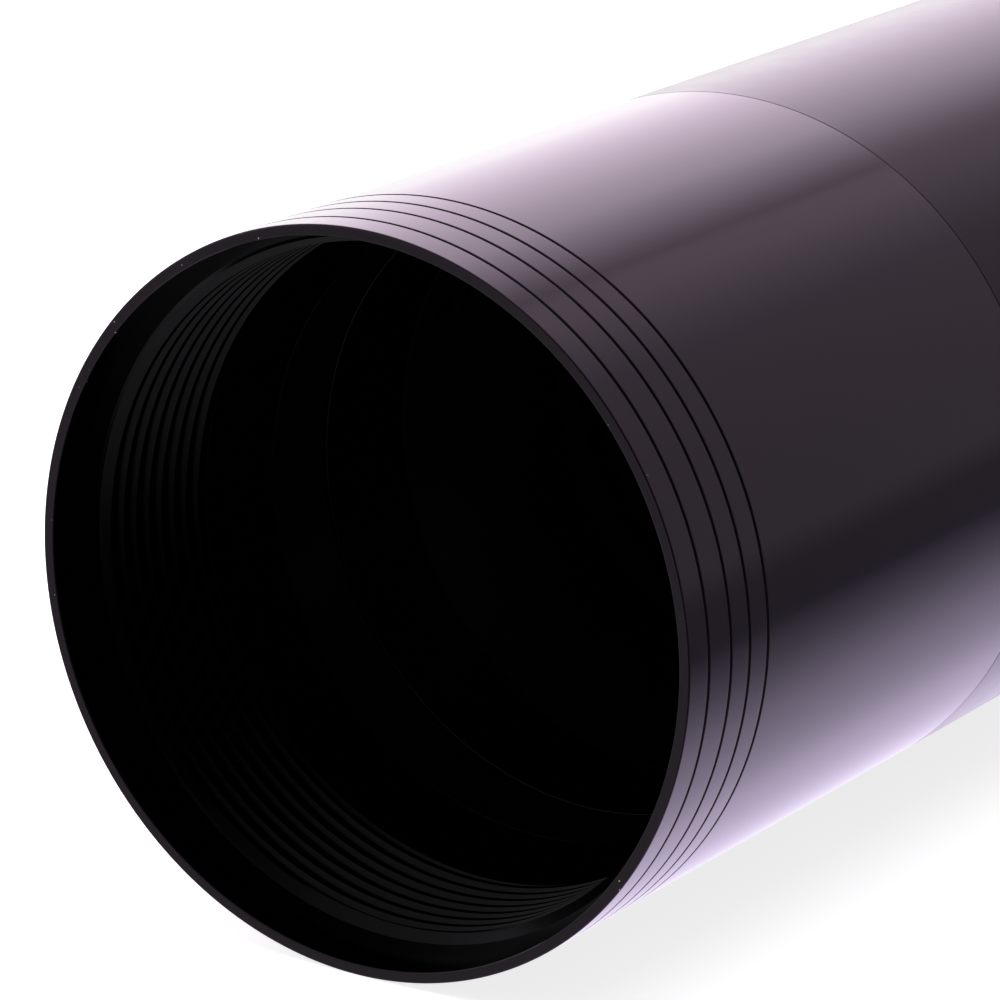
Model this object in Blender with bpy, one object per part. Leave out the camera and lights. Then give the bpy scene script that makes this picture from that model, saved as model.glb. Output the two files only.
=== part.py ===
"""A 2x Barlow lens for 1.25-inch eyepieces, lying on a flat surface with its axis along Y.

Light comes in at the nosepiece end (+Y) and the eyepiece slides into the mouth (-Y). Stations are distances
from the mouth rim along the tube's axis. Every turned piece is a (radius, station) outline spun about the local
Y axis of its parent, so a piece that turns or slides has its origin on its own joint's axis.
"""

import math

import bmesh
import bpy
from mathutils import Matrix, Vector

MM = 0.001
SEGMENTS = 32  # sides of the tube, a multiple of four so that it lies on a flat
SMALL_SEGMENTS = 24  # sides of the screws
LENS_SEGMENTS = 32
LENS_RINGS = 5  # steps from the lens axis to its edge
MERGE = 1e-7
SHARP = math.radians(30)

# Tube
BODY_R = 18.0 * MM
BARREL_R = 15.85 * MM  # the 31.7 mm barrel that focusers and diagonals take
SOCKET_R = 15.9 * MM  # takes a 31.75 mm eyepiece barrel
LENGTH = 116.0 * MM
SLEEVE_END = 33.0 * MM
BODY_END = 86.0 * MM
JOINT_GAP = 0.05 * MM
SLIP = 0.15 * MM  # radial and end clearance between screwed pieces

# Mouth
RIM_INNER_R = 17.44 * MM
RIM_CHAMFER = 0.08 * MM
RECESS_DEPTH = 2.8 * MM
LEAD_IN_R = 17.0 * MM
THREAD_CREST_R = 16.5 * MM
THREAD_END = 11.0 * MM
SOCKET_START = 14.2 * MM  # a long taper leads to it from the thread
GROOVE_STATIONS = (1.67 * MM, 3.57 * MM, 5.19 * MM, 6.79 * MM)
GROOVE_WIDTH = 0.18 * MM
GROOVE_DEPTH = 0.12 * MM
TAIL_GROOVE_STATIONS = (79.2 * MM, 81.1 * MM)

# Eyepiece clamp
CLAMP_STATION = 18.0 * MM
CLAMP_BELOW_HORIZON = math.radians(32.77)  # the knob then rests on the surface that the tube lies on
RING_GROOVE_R = 16.6 * MM
RING_GROOVE_WIDTH = 4.8 * MM
RING_WIDTH = 4.4 * MM
RING_OUTER_R = 16.4 * MM
RING_INNER_R = 15.95 * MM
RING_SWEEP = math.radians(345)
BUSH_R = 3.2 * MM
BUSH_INNER = 16.75 * MM
BUSH_TOP = 18.8 * MM
SCREW_R = 1.85 * MM
SCREW_HOLE_R = 2.05 * MM
SCREW_TIP = 17.4 * MM
SCREW_END = 24.0 * MM
COLLAR_R = 3.0 * MM
COLLAR_BASE = 19.1 * MM
PAD_R = 1.8 * MM
PAD_TIP = 16.7 * MM
PAD_TOP = 17.25 * MM
KNOB_R = 4.5 * MM
KNOB_BASE = 20.3 * MM
KNOB_TOP = 27.0 * MM
KNOB_CHAMFER = 0.6 * MM
KNOB_TEETH = 20
KNOB_TOOTH = 0.3 * MM

# Screwed joint between the sleeve and the main tube
SPIGOT_START = 27.2 * MM
SPIGOT_R = 16.9 * MM
LOCK_STATION = 30.0 * MM
LOCK_ABOVE_HORIZON = math.radians(20.5)
LOCK_R = 1.15 * MM
LOCK_HOLE_R = 1.3 * MM
LOCK_TIP = 16.1 * MM
LOCK_TOP = 17.85 * MM
LOCK_SOCKET_R = 0.65 * MM
LOCK_SOCKET_DEPTH = 1.0 * MM

# Inside the main tube
UPPER_SHOULDER = 44.0 * MM
WAIST_R = 14.6 * MM
LOWER_SHOULDER = 62.0 * MM
LOWER_BORE_R = 15.15 * MM
BAFFLE_THICK = 0.9 * MM
BAFFLE_BEVEL = 0.7 * MM
UPPER_STOP_R = 12.5 * MM
LOWER_STOP_R = 11.5 * MM
LOCK_RING_THICK = 1.7 * MM
LOCK_RING_INNER_R = 14.3 * MM
SPACER_LENGTH = 14.0 * MM
SPACER_R = 15.0 * MM
SPACER_INNER_R = 14.3 * MM

# Nosepiece
NOSE_START = 78.6 * MM
NOSE_SPIGOT_R = 15.0 * MM
FLANGE_START = 86.15 * MM
FLANGE_END = 87.75 * MM
FLANGE_R = 17.3 * MM
FLANGE_CHAMFER = 0.25 * MM
UNDERCUT_START = 95.0 * MM
UNDERCUT_END = 104.0 * MM
UNDERCUT_DEPTH = 0.6 * MM
FILTER_START = 108.0 * MM
FILTER_R = 13.95 * MM  # crests of the M28.5 x 0.6 filter thread
NOSE_BORE_R = 13.3 * MM
CELL_BORE_R = 14.05 * MM
CELL_SHOULDER = 93.1 * MM
END_CHAMFER = 0.5 * MM
SEAL_POCKET_R = 16.6 * MM
SEAL_POCKET_START = 84.4 * MM
SEAL_MAJOR_R = 15.75 * MM
SEAL_SECTION_R = 0.65 * MM
SEAL_STATION = 85.2 * MM
SEAL_SIDES = 8

# Lens cell
CELL_R = 13.85 * MM
CELL_START = 80.6 * MM
CELL_END = 92.9 * MM
CELL_SEAT = 91.7 * MM
CELL_SEAT_R = 12.6 * MM
APERTURE_R = 11.3 * MM
CELL_LOCK_START = 79.0 * MM
CELL_LOCK_END = 80.4 * MM
CELL_LOCK_INNER_R = 12.2 * MM
RETAINER_START = 81.0 * MM
RETAINER_END = 82.9 * MM
RETAINER_R = 12.45 * MM
SLOT_WIDTH = 1.2 * MM
SLOT_DEPTH = 0.7 * MM
WASHER_START = 91.35 * MM
WASHER_END = 91.6 * MM
LENS_R = 12.4 * MM
LENS_CURVE_R = 33.6 * MM  # both faces of the biconcave element and the inner face of the planoconvex one
LENS_TOP_EDGE = 83.1 * MM
BICONCAVE_CENTRE = 1.6 * MM
CEMENT_GAP = 0.05 * MM
PLANO_FACE = 91.25 * MM

AXIS_Z = BODY_R
KNOB_REACH = (
    KNOB_TOP * math.cos(CLAMP_BELOW_HORIZON)
    + (KNOB_R - KNOB_CHAMFER) * math.sin(CLAMP_BELOW_HORIZON)
)
AXIS_X = (KNOB_REACH - BODY_R) / 2  # centres the whole object over the origin


def clear_scene():
    for item in list(bpy.data.objects):
        bpy.data.objects.remove(item)


def material(name, colour, roughness, metallic=0.0, transmission=0.0):
    made = bpy.data.materials.new(name)
    made.use_nodes = True
    shader = made.node_tree.nodes["Principled BSDF"]
    shader.inputs["Base Color"].default_value = (*colour, 1)
    shader.inputs["Roughness"].default_value = roughness
    shader.inputs["Metallic"].default_value = metallic
    shader.inputs["Transmission Weight"].default_value = transmission
    return made


def axis_empty(name, place, along=Vector((0, 1, 0)), parent=None):
    """An empty whose local Y axis points along the given direction."""
    empty = bpy.data.objects.new(name, None)
    bpy.context.scene.collection.objects.link(empty)
    empty.parent = parent
    empty.location = place
    empty.rotation_mode = "QUATERNION"
    empty.rotation_quaternion = Vector((0, 1, 0)).rotation_difference(along)
    return empty


def turned(name, outline, finish, parent, segments=SEGMENTS, sweep=math.tau):
    """Spins a (radius, station) outline about the parent's Y axis.

    Radii are those of the flats. An outline that starts and ends on the axis is left open there.
    """
    solid = bmesh.new()
    flat_to_corner = 1 / math.cos(math.pi / segments)
    start = Matrix.Rotation(math.pi / segments, 4, "Y")
    corners = [
        solid.verts.new(start @ Vector((radius * flat_to_corner, station, 0)))
        for radius, station in outline
    ]
    on_axis = outline[0][0] == 0 and outline[-1][0] == 0
    pairs = list(zip(corners, corners[1:]))
    if not on_axis:
        pairs.append((corners[-1], corners[0]))
    edges = [solid.edges.new(pair) for pair in pairs]
    whole = sweep == math.tau
    bmesh.ops.spin(
        solid,
        geom=corners + edges,
        cent=(0, 0, 0),
        axis=(0, 1, 0),
        angle=sweep,
        steps=segments,
        use_merge=whole,
    )
    bmesh.ops.remove_doubles(solid, verts=solid.verts, dist=MERGE)
    if not whole:
        open_edges = [edge for edge in solid.edges if edge.is_boundary]
        bmesh.ops.holes_fill(solid, edges=open_edges, sides=0)
    bmesh.ops.recalc_face_normals(solid, faces=solid.faces)
    mesh = bpy.data.meshes.new(name)
    solid.to_mesh(mesh)
    solid.free()
    return placed(name, mesh, finish, parent)


def placed(name, mesh, finish, parent):
    mesh.materials.append(finish)
    mesh.shade_smooth()
    mesh.set_sharp_from_angle(angle=SHARP)
    made = bpy.data.objects.new(name, mesh)
    bpy.context.scene.collection.objects.link(made)
    made.parent = parent
    return made


def ring(inner, outer, start, end):
    return [(inner, start), (outer, start), (outer, end), (inner, end)]


def rod(radius, start, end):
    return [(0, start), (radius, start), (radius, end), (0, end)]


def cut(piece, cutter):
    cutter.hide_render = True
    cutter.display_type = "WIRE"
    boolean = piece.modifiers.new(cutter.name, "BOOLEAN")
    boolean.operation = "DIFFERENCE"
    boolean.solver = "EXACT"
    boolean.object = cutter


def spanner_slots(piece, finish, parent, start):
    """Two slots in the ring's upper face, cut by one bar across its whole width."""
    bar = bmesh.new()
    bmesh.ops.create_cube(bar, size=1)
    size = Vector((2.2 * BODY_R, 2 * SLOT_DEPTH, SLOT_WIDTH))
    bmesh.ops.scale(bar, vec=size, verts=bar.verts)
    bmesh.ops.translate(bar, vec=(0, start, 0), verts=bar.verts)
    mesh = bpy.data.meshes.new(piece.name + "_slots")
    bar.to_mesh(mesh)
    bar.free()
    cut(piece, placed(piece.name + "_slots", mesh, finish, parent))


def v_grooves(stations):
    """Outline points of shallow grooves engraved round the outside of the body."""
    points = []
    for station in stations:
        points += [
            (BODY_R, station - GROOVE_WIDTH / 2),
            (BODY_R - GROOVE_DEPTH, station),
            (BODY_R, station + GROOVE_WIDTH / 2),
        ]
    return points


def sag(radius):
    return LENS_CURVE_R - math.sqrt(LENS_CURVE_R**2 - radius**2)


def lens_radii():
    return [LENS_R * step / LENS_RINGS for step in range(LENS_RINGS + 1)]


def make_eyepiece_sleeve(finish, tube_axis, clamp_axis, lock_axis):
    groove_half = RING_GROOVE_WIDTH / 2
    outline = [
        (RIM_INNER_R + RIM_CHAMFER, 0),
        (BODY_R - RIM_CHAMFER, 0),
        (BODY_R, RIM_CHAMFER),
        *v_grooves(GROOVE_STATIONS),
        (BODY_R, SLEEVE_END),
        (SPIGOT_R + SLIP, SLEEVE_END),
        (SPIGOT_R + SLIP, SPIGOT_START - SLIP),
        (SOCKET_R, SPIGOT_START - SLIP),
        (SOCKET_R, CLAMP_STATION + groove_half),
        (RING_GROOVE_R, CLAMP_STATION + groove_half),
        (RING_GROOVE_R, CLAMP_STATION - groove_half),
        (SOCKET_R, CLAMP_STATION - groove_half),
        (SOCKET_R, SOCKET_START),
        (THREAD_CREST_R, THREAD_END),
        (THREAD_CREST_R, RECESS_DEPTH + LEAD_IN_R - THREAD_CREST_R),
        (LEAD_IN_R, RECESS_DEPTH),
        (RIM_INNER_R, RECESS_DEPTH),
        (RIM_INNER_R, RIM_CHAMFER),
    ]
    sleeve = turned("eyepiece_sleeve", outline, finish, tube_axis)
    bush_hole = rod(BUSH_R + SLIP, RING_INNER_R, BUSH_TOP)
    cut(sleeve, turned("bush_hole", bush_hole, finish, clamp_axis, SMALL_SEGMENTS))
    lock_hole = rod(LOCK_HOLE_R, SOCKET_R - SLIP, BUSH_TOP)
    cut(sleeve, turned("sleeve_lock_hole", lock_hole, finish, lock_axis, SMALL_SEGMENTS))


def make_clamp(finishes, tube_axis, clamp_axis):
    half = RING_WIDTH / 2
    ring_outline = ring(RING_INNER_R, RING_OUTER_R, CLAMP_STATION - half, CLAMP_STATION + half)
    turned("compression_ring", ring_outline, finishes["black_brass"], tube_axis, sweep=RING_SWEEP)
    bush_outline = ring(SCREW_HOLE_R, BUSH_R, BUSH_INNER, BUSH_TOP)
    turned("thumb_screw_bush", bush_outline, finishes["black_brass"], clamp_axis, SMALL_SEGMENTS)
    turned("clamp_pad", rod(PAD_R, PAD_TIP, PAD_TOP), finishes["nylon"], clamp_axis, SMALL_SEGMENTS)
    collar_top = KNOB_BASE - SLIP
    screw_outline = [
        (0, SCREW_TIP),
        (SCREW_R, SCREW_TIP),
        (SCREW_R, COLLAR_BASE),
        (COLLAR_R, COLLAR_BASE),
        (COLLAR_R, collar_top),
        (SCREW_R, collar_top),
        (SCREW_R, SCREW_END),
        (0, SCREW_END),
    ]
    turned("thumb_screw", screw_outline, finishes["steel"], clamp_axis, SMALL_SEGMENTS)
    knob_outline = [
        (0, SCREW_END + SLIP),
        (SCREW_HOLE_R, SCREW_END + SLIP),
        (SCREW_HOLE_R, KNOB_BASE),
        (KNOB_R - KNOB_CHAMFER, KNOB_BASE),
        (KNOB_R, KNOB_BASE + KNOB_CHAMFER),
        (KNOB_R, KNOB_TOP - KNOB_CHAMFER),
        (KNOB_R - KNOB_CHAMFER, KNOB_TOP),
        (0, KNOB_TOP),
    ]
    knob = turned("thumb_screw_knob", knob_outline, finishes["gloss_black"], clamp_axis, 2 * KNOB_TEETH)
    for vertex in knob.data.vertices:
        across = math.hypot(vertex.co.x, vertex.co.z)
        tooth_step = round(math.atan2(vertex.co.z, vertex.co.x) / math.pi * KNOB_TEETH - 0.5)
        if across > KNOB_R and tooth_step % 2:
            vertex.co.x *= 1 - KNOB_TOOTH / across
            vertex.co.z *= 1 - KNOB_TOOTH / across


def make_main_tube(finish, tube_axis, lock_axis):
    body_start = SLEEVE_END + JOINT_GAP
    outline = [
        (SOCKET_R, SPIGOT_START),
        (SPIGOT_R, SPIGOT_START),
        (SPIGOT_R, body_start),
        (BODY_R, body_start),
        *v_grooves(TAIL_GROOVE_STATIONS),
        (BODY_R, BODY_END - END_CHAMFER),
        (BODY_R - END_CHAMFER, BODY_END),
        (SEAL_POCKET_R, BODY_END),
        (SEAL_POCKET_R, SEAL_POCKET_START),
        (LOWER_BORE_R, SEAL_POCKET_START),
        (LOWER_BORE_R, LOWER_SHOULDER),
        (WAIST_R, LOWER_SHOULDER),
        (WAIST_R, UPPER_SHOULDER),
        (SOCKET_R, UPPER_SHOULDER),
    ]
    tube = turned("main_tube", outline, finish, tube_axis)
    lock_hole = rod(LOCK_HOLE_R, SOCKET_R - SLIP, SPIGOT_R + SLIP)
    cut(tube, turned("tube_lock_hole", lock_hole, finish, lock_axis, SMALL_SEGMENTS))


def make_sleeve_lock_screw(finish, lock_axis):
    screw_outline = rod(LOCK_R, LOCK_TIP, LOCK_TOP)
    screw = turned("sleeve_lock_screw", screw_outline, finish, lock_axis, SMALL_SEGMENTS)
    socket = rod(LOCK_SOCKET_R, LOCK_TOP - LOCK_SOCKET_DEPTH, LOCK_TOP + LOCK_SOCKET_DEPTH)
    cut(screw, turned("hex_socket", socket, finish, lock_axis, segments=6))


def baffle(name, outer, stop, start, finish, parent):
    """A flat ring whose aperture is bevelled on its upper side to a thin edge."""
    end = start + BAFFLE_THICK
    outline = [
        (stop + BAFFLE_BEVEL, start),
        (outer, start),
        (outer, end),
        (stop, end),
        (stop, start + BAFFLE_BEVEL),
    ]
    turned(name, outline, finish, parent)


def make_baffles(finish, tube_axis):
    ring_r = SOCKET_R - SLIP
    upper_start = UPPER_SHOULDER - SLIP - BAFFLE_THICK
    baffle("upper_baffle", ring_r, UPPER_STOP_R, upper_start, finish, tube_axis)
    lock_end = upper_start - SLIP
    lock_start = lock_end - LOCK_RING_THICK
    lock_outline = ring(LOCK_RING_INNER_R, ring_r, lock_start, lock_end)
    lock_ring = turned("baffle_lock_ring", lock_outline, finish, tube_axis)
    spanner_slots(lock_ring, finish, tube_axis, lock_start)
    lower_start = LOWER_SHOULDER + SLIP
    baffle("lower_baffle", LOWER_BORE_R - SLIP, LOWER_STOP_R, lower_start, finish, tube_axis)
    spacer_start = lower_start + BAFFLE_THICK + SLIP
    spacer_outline = ring(SPACER_INNER_R, SPACER_R, spacer_start, spacer_start + SPACER_LENGTH)
    turned("baffle_spacer", spacer_outline, finish, tube_axis)


def make_nosepiece(finishes, nose_axis, seal_axis):
    undercut_r = BARREL_R - UNDERCUT_DEPTH
    outline = [
        (CELL_BORE_R, NOSE_START),
        (NOSE_SPIGOT_R, NOSE_START),
        (NOSE_SPIGOT_R, FLANGE_START),
        (FLANGE_R, FLANGE_START),
        (FLANGE_R, FLANGE_END - FLANGE_CHAMFER),
        (FLANGE_R - FLANGE_CHAMFER, FLANGE_END),
        (BARREL_R, FLANGE_END),
        (BARREL_R, UNDERCUT_START),
        (undercut_r, UNDERCUT_START + UNDERCUT_DEPTH),
        (undercut_r, UNDERCUT_END - UNDERCUT_DEPTH),
        (BARREL_R, UNDERCUT_END),
        (BARREL_R, LENGTH - END_CHAMFER),
        (BARREL_R - END_CHAMFER, LENGTH),
        (FILTER_R, LENGTH),
        (FILTER_R, FILTER_START),
        (NOSE_BORE_R, FILTER_START),
        (NOSE_BORE_R, CELL_SHOULDER),
        (CELL_BORE_R, CELL_SHOULDER),
    ]
    turned("nosepiece", outline, finishes["chrome"], nose_axis)
    seal_outline = [
        (
            SEAL_MAJOR_R + SEAL_SECTION_R * math.cos(math.tau * side / SEAL_SIDES),
            SEAL_STATION + SEAL_SECTION_R * math.sin(math.tau * side / SEAL_SIDES),
        )
        for side in range(SEAL_SIDES)
    ]
    turned("nosepiece_seal", seal_outline, finishes["rubber"], seal_axis)


def make_lens_cell(finishes, nose_axis):
    black = finishes["matt_black"]
    cell_outline = [
        (CELL_SEAT_R, CELL_START),
        (CELL_R, CELL_START),
        (CELL_R, CELL_END),
        (APERTURE_R, CELL_END),
        (APERTURE_R, CELL_SEAT),
        (CELL_SEAT_R, CELL_SEAT),
    ]
    turned("lens_cell", cell_outline, black, nose_axis)
    cell_lock_outline = ring(CELL_LOCK_INNER_R, CELL_R, CELL_LOCK_START, CELL_LOCK_END)
    cell_lock = turned("cell_lock_ring", cell_lock_outline, black, nose_axis)
    spanner_slots(cell_lock, black, nose_axis, CELL_LOCK_START)
    retainer_outline = ring(APERTURE_R, RETAINER_R, RETAINER_START, RETAINER_END)
    retainer = turned("lens_retaining_ring", retainer_outline, black, nose_axis)
    spanner_slots(retainer, black, nose_axis, RETAINER_START)
    washer_outline = ring(APERTURE_R, LENS_R, WASHER_START, WASHER_END)
    turned("lens_seat_washer", washer_outline, finishes["nylon"], nose_axis)


def make_lenses(glass, nose_axis):
    edge_sag = sag(LENS_R)
    top_centre = LENS_TOP_EDGE + edge_sag
    low_centre = top_centre + BICONCAVE_CENTRE
    top_face = [(radius, top_centre - sag(radius)) for radius in lens_radii()]
    low_face = [(radius, low_centre + sag(radius)) for radius in reversed(lens_radii())]
    turned("biconcave_element", top_face + low_face, glass, nose_axis, LENS_SEGMENTS)
    bulge = [(radius, low_centre + CEMENT_GAP + sag(radius)) for radius in lens_radii()]
    plano_face = [(LENS_R, PLANO_FACE), (0, PLANO_FACE)]
    turned("planoconvex_element", bulge + plano_face, glass, nose_axis, LENS_SEGMENTS)


def main():
    clear_scene()
    finishes = {
        "gloss_black": material("gloss_black_anodised", (0.012, 0.011, 0.013), 0.12),
        "satin_black": material("satin_black_anodised", (0.016, 0.015, 0.018), 0.35),
        "matt_black": material("matt_black_anodised", (0.006, 0.006, 0.006), 0.6),
        "chrome": material("chrome", (0.75, 0.76, 0.78), 0.12, metallic=1.0),
        "steel": material("dark_steel", (0.12, 0.12, 0.13), 0.3, metallic=1.0),
        "black_brass": material("blackened_brass", (0.02, 0.018, 0.016), 0.4, metallic=1.0),
        "nylon": material("nylon", (0.7, 0.68, 0.6), 0.5),
        "rubber": material("rubber", (0.01, 0.01, 0.01), 0.7),
        "glass": material("coated_glass", (0.95, 0.97, 1.0), 0.02, transmission=1.0),
    }
    mouth = Vector((AXIS_X, -LENGTH / 2, AXIS_Z))
    tube_axis = axis_empty("tube_axis", mouth)
    clamp_way = Vector((-math.cos(CLAMP_BELOW_HORIZON), 0, -math.sin(CLAMP_BELOW_HORIZON)))
    clamp_axis = axis_empty("clamp_axis", (0, CLAMP_STATION, 0), clamp_way, tube_axis)
    lock_way = Vector((-math.cos(LOCK_ABOVE_HORIZON), 0, math.sin(LOCK_ABOVE_HORIZON)))
    lock_axis = axis_empty("lock_axis", (0, LOCK_STATION, 0), lock_way, tube_axis)
    nose_axis = axis_empty("nosepiece_axis", mouth)
    seal_axis = axis_empty("nosepiece_seal_axis", mouth)
    make_eyepiece_sleeve(finishes["gloss_black"], tube_axis, clamp_axis, lock_axis)
    make_clamp(finishes, tube_axis, clamp_axis)
    make_main_tube(finishes["satin_black"], tube_axis, lock_axis)
    make_sleeve_lock_screw(finishes["steel"], lock_axis)
    make_baffles(finishes["matt_black"], tube_axis)
    make_nosepiece(finishes, nose_axis, seal_axis)
    make_lens_cell(finishes, nose_axis)
    make_lenses(finishes["glass"], nose_axis)


main()
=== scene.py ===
"""Looks of the Barlow lens: turned pieces, real threads, node materials, studio light and the camera.

Lengths are in millimetres until a mesh or an object is made. A turned piece is a list of (radius, station)
points spun about the Y axis of its own frame. Stations are distances from the mouth rim along the tube's
axis or, on the two screws, outwards from the tube's axis. Angles run clockwise from up, looking along +Y.
"""

import math
from dataclasses import dataclass

import bmesh
import bpy
from mathutils import Matrix, Vector


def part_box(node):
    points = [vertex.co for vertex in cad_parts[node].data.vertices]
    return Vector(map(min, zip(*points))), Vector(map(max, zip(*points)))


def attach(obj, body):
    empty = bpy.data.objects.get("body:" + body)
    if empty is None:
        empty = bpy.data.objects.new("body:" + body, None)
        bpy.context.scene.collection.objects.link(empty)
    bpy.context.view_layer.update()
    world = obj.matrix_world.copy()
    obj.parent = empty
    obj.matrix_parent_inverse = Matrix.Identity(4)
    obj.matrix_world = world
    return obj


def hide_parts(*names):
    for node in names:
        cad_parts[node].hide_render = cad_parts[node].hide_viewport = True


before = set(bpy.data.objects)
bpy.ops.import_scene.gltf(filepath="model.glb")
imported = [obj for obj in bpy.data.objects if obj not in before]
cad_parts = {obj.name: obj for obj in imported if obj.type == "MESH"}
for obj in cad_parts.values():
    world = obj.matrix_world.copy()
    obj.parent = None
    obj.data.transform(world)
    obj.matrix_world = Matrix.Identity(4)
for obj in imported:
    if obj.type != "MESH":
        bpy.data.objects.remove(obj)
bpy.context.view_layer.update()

MM = 0.001
MERGE = 1e-8  # metres
SHARP = math.radians(5)  # keeps the wide bands evenly shaded beside their small rounds
COLUMNS = 240  # sides of the tube, of everything inside it and of the knob
SCREW_COLUMNS = 96
EASE = 0.1  # length taken off each edge
EASE_STEPS = 5
EASE_SHARE = 0.4  # the most of a side's length that one rounded corner takes
SMALLEST_ROOM = 0.03  # a corner with less room than this stays sharp

# The 60 degree thread form, as parts of the pitch
THREAD_DEPTH = 0.5
ROOT_HALF = 0.045
CREST_START = ROOT_HALF + THREAD_DEPTH * math.tan(math.radians(30))
FLANK_ROWS = (ROOT_HALF, 0.14, 0.24, CREST_START)
ROW_PHASES = (0.0, *FLANK_ROWS, 0.42, 0.5, 0.58, *(1 - phase for phase in reversed(FLANK_ROWS)))


# ---------------------------------------------------------------------------------------------- the frame


def size_of(node):
    """First station, last station and outer radius of a node that lies along the tube's axis."""
    low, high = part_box(node)
    return (low.y - MOUTH.y) / MM, (high.y - MOUTH.y) / MM, (high.z - low.z) / 2 / MM


def axis_frame(place, along=Vector((0, 1, 0))):
    """A frame at the place with its Y axis along the given way."""
    turn = Vector((0, 1, 0)).rotation_difference(along)
    return Matrix.Translation(place) @ turn.to_matrix().to_4x4()


TUBE_LOW, TUBE_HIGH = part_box("main_tube")
MOUTH = Vector(
    (
        (TUBE_LOW.x + TUBE_HIGH.x) / 2,
        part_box("eyepiece_sleeve")[0].y,
        (TUBE_LOW.z + TUBE_HIGH.z) / 2,
    )
)
BODY_R = size_of("main_tube")[2]
TUBE = axis_frame(MOUTH)

CLAMP_STATION = 18.0
CLAMP_BELOW_HORIZON = math.radians(32.77)
CLAMP_WAY = Vector((-math.cos(CLAMP_BELOW_HORIZON), 0, -math.sin(CLAMP_BELOW_HORIZON)))
CLAMP = axis_frame(MOUTH + Vector((0, CLAMP_STATION * MM, 0)), CLAMP_WAY)

LOCK_STATION = 30.0
LOCK_ABOVE_HORIZON = math.radians(20.5)
LOCK_WAY = Vector((-math.cos(LOCK_ABOVE_HORIZON), 0, math.sin(LOCK_ABOVE_HORIZON)))
LOCK = axis_frame(MOUTH + Vector((0, LOCK_STATION * MM, 0)), LOCK_WAY)


# ------------------------------------------------------------------------------------------ turned shapes


@dataclass
class Thread:
    """A right-hand thread from start to end. side is 1 inside a bore and -1 on the outside of a rod."""

    start: float
    end: float
    crest: float
    pitch: float
    side: int
    root: float = 0.0  # a station of the root's middle at angle 0
    start_chamfer: float = 0.0
    end_chamfer: float = 0.0
    start_runout: float = 0.0
    end_runout: float = 0.0

    def radius(self, station, angle):
        turns = (station - self.root) / self.pitch - angle / math.tau
        off_root = abs(turns - round(turns))
        cut = THREAD_DEPTH * self.pitch * limited((CREST_START - off_root) / (CREST_START - ROOT_HALF))
        if self.start_runout:
            cut *= limited((station - self.start) / self.start_runout)
        if self.end_runout:
            cut *= limited((self.end - station) / self.end_runout)
        chamfer = max(
            self.start_chamfer - (station - self.start),
            self.end_chamfer - (self.end - station),
        )
        return self.crest + self.side * max(cut, chamfer, 0)


def limited(value, low=0.0, high=1.0):
    return min(max(value, low), high)


def point(radius, station, angle):
    """A place in metres from a radius and a station in millimetres."""
    return Vector((radius * math.sin(angle), station, radius * math.cos(angle))) * MM


def add_face(solid, corners):
    """A face without the corners that coincide, or none where fewer than three are left."""
    corners = list(dict.fromkeys(corners))
    if len(corners) > 2:
        solid.faces.new(corners)


def join_rows(solid, rows, whole=True, lead=0):
    """Faces between neighbouring rows of vertices. A lead makes each row's end meet the row that far on."""
    columns = len(rows[0])
    for row in range(len(rows) - 1):
        for column in range(columns if whole else columns - 1):
            beyond = column + 1 == columns
            next_column = 0 if beyond else column + 1
            next_row = row + lead if beyond else row
            if next_row + 1 < len(rows):
                near = (rows[row][column], rows[row + 1][column])
                far = (rows[next_row + 1][next_column], rows[next_row][next_column])
                add_face(solid, near + far)


def add_band(solid, ends, angles, whole, reshape):
    """The strip between two points of an outline."""
    rows = []
    for radius, station in ends:
        if radius == 0:
            rows.append([solid.verts.new(point(0, station, 0))] * len(angles))
            continue
        radii = [reshape(radius, station, angle) for angle in angles]
        rows.append([solid.verts.new(point(r, station, a)) for r, a in zip(radii, angles)])
    join_rows(solid, rows, whole)


def add_thread(solid, thread, angles):
    """Rows that climb with the thread, held back at its two ends."""
    first = math.floor((thread.start - thread.root) / thread.pitch) - 1
    last = math.ceil((thread.end - thread.root) / thread.pitch)
    rows = []
    for turn in range(first, last + 1):
        for phase in ROW_PHASES:
            corners = []
            for angle in angles:
                climb = turn + phase + angle / math.tau
                station = limited(thread.root + climb * thread.pitch, thread.start, thread.end)
                corners.append(solid.verts.new(point(thread.radius(station, angle), station, angle)))
            rows.append(corners)
    join_rows(solid, rows, lead=len(ROW_PHASES))


def eased(outline, size, keep):
    """The outline with its corners rounded, except on the axis, at a thread's ends and in tight places."""
    points = []
    for before, corner, after in zip(outline[-1:] + outline[:-1], outline, outline[1:] + outline[:1]):
        here = Vector(corner)
        back = Vector(before) - here
        ahead = Vector(after) - here
        room = min(size, EASE_SHARE * back.length, EASE_SHARE * ahead.length)
        straight = back.length and ahead.length and back.angle(ahead) > math.pi - SHARP
        if corner[0] == 0 or corner[1] in keep or straight or room < SMALLEST_ROOM:
            points.append(corner)
            continue
        start = here + back.normalized() * room
        end = here + ahead.normalized() * room
        for step in range(EASE_STEPS + 1):
            part = step / EASE_STEPS
            spot = start * (1 - part) ** 2 + here * 2 * part * (1 - part) + end * part**2
            points.append(tuple(spot))
    return points


def same_radius(radius, station, angle):
    return radius


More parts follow.
